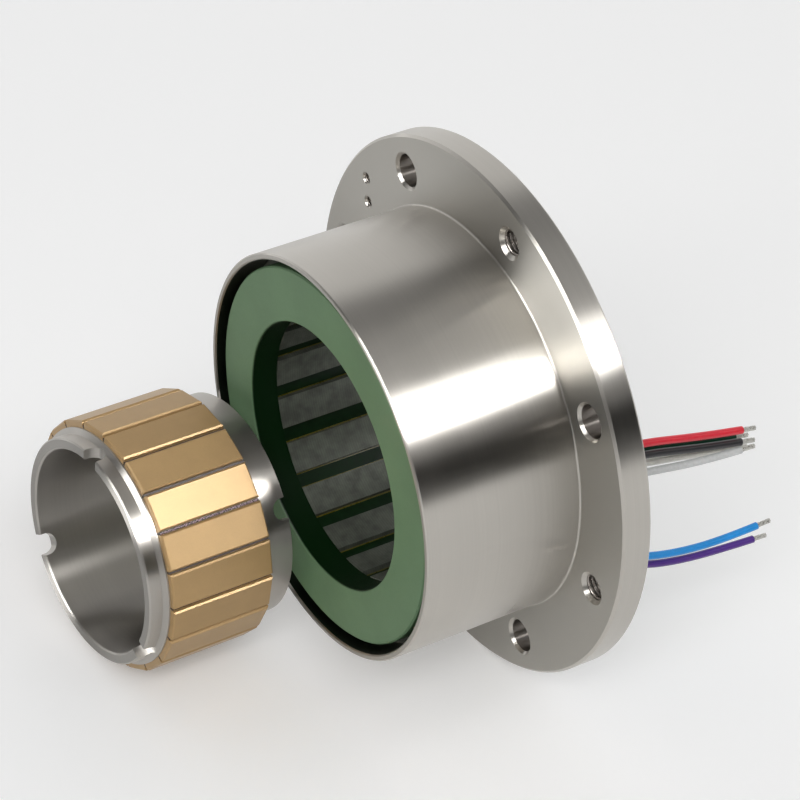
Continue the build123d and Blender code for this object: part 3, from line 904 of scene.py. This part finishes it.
class MOTOR_OT_stage(Operator):
    """Set up the floor, the lamps, the room and the camera"""

    bl_idname = "motor.stage"
    bl_label = "Stage"

    def execute(self, context):
        scene = context.scene
        levels = scene.motor_stage
        scene.view_settings.view_transform = "Standard"
        self.lay_floor(scene, levels)
        self.light_room(scene)
        self.hang_lamps(scene, levels)
        self.place_camera(scene)
        return {"FINISHED"}

    def lay_floor(self, scene, levels):
        sheet = bpy.data.meshes.new("studio_floor")
        corners = [
            Vector((x * FLOOR_REACH, y * FLOOR_REACH, levels.floor_level))
            for x, y in ((-1, -1), (1, -1), (1, 1), (-1, 1))
        ]
        sheet.from_pydata(corners, [], [(0, 1, 2, 3)])
        floor = bpy.data.objects.new("studio_floor", sheet)
        scene.collection.objects.link(floor)
        finish = bpy.data.materials.new("pale_floor")
        finish.use_nodes = True
        tree = finish.node_tree
        tree.nodes.remove(tree.nodes["Principled BSDF"])
        matt = put(tree, "ShaderNodeBsdfDiffuse", {"Color": (*levels.floor, 1)})
        seen = self.seen_directly(tree)
        strength = reckon(tree, "MULTIPLY", seen, FLOOR_GLOW)
        glow = put(tree, "ShaderNodeEmission", {"Strength": strength})
        both = put(tree, "ShaderNodeAddShader", {0: matt.outputs[0], 1: glow.outputs[0]})
        tree.links.new(both.outputs[0], tree.nodes["Material Output"].inputs["Surface"])
        sheet.materials.append(finish)

    def seen_directly(self, tree):
        """1 for what the camera sees, straight or in metal or glass."""
        path = put(tree, "ShaderNodeLightPath").outputs
        some = reckon(tree, "MAXIMUM", path["Is Camera Ray"], path["Is Glossy Ray"])
        return reckon(tree, "MAXIMUM", some, path["Is Transmission Ray"])

    def light_room(self, scene):
        """Strips of pale and dark along the motor, as a room of panels and gaps."""
        room = bpy.data.worlds.new("studio_room")
        room.use_nodes = True
        scene.world = room
        tree = room.node_tree
        background = tree.nodes["Background"]
        toward = put(tree, "ShaderNodeTexCoord").outputs["Generated"]
        apart = put(tree, "ShaderNodeSeparateXYZ", {0: toward}).outputs
        turn = reckon(tree, "ARCTAN2", apart["Z"], apart["X"])
        strips = put(tree, "ShaderNodeValToRGB", {0: spread(tree, turn, -pi, pi, 0, 1)})
        ramp = strips.color_ramp
        for angle, level in ROOM_STRIPS:
            stop = ramp.elements.new((angle + 180) / 360)
            stop.color = (level, level, level, 1)
        for end in (ramp.elements[0], ramp.elements[-1]):
            end.color = (1, 1, 1, 1)
        ahead = spread(tree, apart["Y"], *SHADE_AHEAD, 0, 1)
        above = spread(tree, turn, *map(radians, SHADE_ABOVE), 0, 1)
        shade = reckon(tree, "MULTIPLY", reckon(tree, "MULTIPLY", ahead, above), FRONT_SHADE)
        shaded = reckon(tree, "MULTIPLY", strips.outputs[0], reckon(tree, "SUBTRACT", 1.0, shade))
        level = reckon(tree, "MULTIPLY", shaded, ROOM_SCALE)
        camera_ray = put(tree, "ShaderNodeLightPath").outputs["Is Camera Ray"]
        strength = put(
            tree, "ShaderNodeMix", {0: camera_ray, 2: level, 3: 1.0}, data_type="FLOAT"
        ).outputs[0]
        tree.links.new(strength, background.inputs["Strength"])
        background.inputs["Color"].default_value = (1, 1, 1, 1)

    def hang_lamps(self, scene, levels):
        low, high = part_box("rotor_hub")
        self.hang(
            scene, "soft_box", levels.soft_box, size=(0.9, 0.4),
            target=motor_centre, toward=(0.6, -0.42, 0.68), distance=1.4,
        )
        self.hang(
            scene, "front_box", levels.front_box, size=(0.8, 0.38),
            target=motor_centre, toward=(-0.13, -0.97, 0.2), distance=1.6, lean=-38, mirrored=True,
        )
        self.hang(
            scene, "rotor_key", levels.rotor_key, size=(0.05, 0.16),
            target=(low + high) / 2, toward=(0.71, 0.12, 0.66), distance=0.5, beam=14,
            mirrored=True,
        )

    def hang(
        self, scene, name, watts, size, target, toward, distance, lean=0, beam=180, mirrored=False
    ):
        """Hangs a lamp facing its target. A mirrored one shows in metal and gloss alone."""
        lamp = bpy.data.lights.new(name, "AREA")
        lamp.shape = "RECTANGLE"
        lamp.size, lamp.size_y = size
        lamp.energy = watts
        lamp.spread = radians(beam)
        placed = bpy.data.objects.new(name, lamp)
        scene.collection.objects.link(placed)
        away = Vector(toward).normalized()
        placed.location = target + away * distance
        upright = away.to_track_quat("Z", "Y").to_matrix()
        placed.rotation_euler = (upright @ Matrix.Rotation(radians(lean), 3, "Z")).to_euler()
        placed.visible_glossy = mirrored
        placed.visible_diffuse = not mirrored
        placed.visible_camera = False

    def place_camera(self, scene):
        """The photograph's viewing angle, found from the object's own circles."""
        right = Vector((0.519625, 0.854348, 0.008943))
        up = Vector((-0.499010, 0.294975, 0.814849))
        back = Vector((0.693526, -0.427878, 0.579605))
        place = Vector((0.409252, -0.266466, 0.348686))
        eye = bpy.data.cameras.new("camera")
        eye.sensor_width = 36
        eye.lens = 144.67
        eye.clip_start = 0.02
        eye.clip_end = 20
        camera = bpy.data.objects.new("camera", eye)
        scene.collection.objects.link(camera)
        turned = Matrix((right, up, back)).transposed().to_4x4()
        camera.matrix_world = Matrix.Translation(place) @ turned
        scene.camera = camera


class MOTOR_PT_dressing(Panel):
    """Lists the motor's operators and their values"""

    bl_label = "Frameless motor"
    bl_idname = "MOTOR_PT_dressing"
    bl_space_type = "VIEW_3D"
    bl_region_type = "UI"
    bl_category = "Motor"

    def draw(self, context):
        for operator in operators:
            self.layout.operator(operator.bl_idname)
        for attribute in property_groups.values():
            box = self.layout.box()
            group = getattr(context.scene, attribute)
            for name in group.__annotations__:
                box.prop(group, name)


operators = (
    MOTOR_OT_leads,
    MOTOR_OT_housing,
    MOTOR_OT_threads,
    MOTOR_OT_core,
    MOTOR_OT_coils,
    MOTOR_OT_end_rings,
    MOTOR_OT_board,
    MOTOR_OT_rotor,
    MOTOR_OT_beads,
    MOTOR_OT_stage,
)
property_groups = {
    MotorFinishes: "motor_finishes",
    MotorLeads: "motor_leads",
    MotorThreads: "motor_threads",
    MotorAdhesive: "motor_adhesive",
    MotorStage: "motor_stage",
}


def register():
    for group, attribute in property_groups.items():
        bpy.utils.register_class(group)
        setattr(bpy.types.Scene, attribute, PointerProperty(type=group))
    for operator in (*operators, MOTOR_PT_dressing):
        bpy.utils.register_class(operator)


def unregister():
    for operator in reversed((*operators, MOTOR_PT_dressing)):
        bpy.utils.unregister_class(operator)
    for group, attribute in property_groups.items():
        delattr(bpy.types.Scene, attribute)
        bpy.utils.unregister_class(group)


def main():
    register()
    bpy.ops.motor.leads()
    bpy.ops.motor.housing()
    bpy.ops.motor.threads()
    bpy.ops.motor.core()
    bpy.ops.motor.coils()
    bpy.ops.motor.end_rings()
    bpy.ops.motor.board()
    bpy.ops.motor.rotor()
    bpy.ops.motor.beads()
    bpy.ops.motor.stage()


if __name__ == "__main__":
    main()
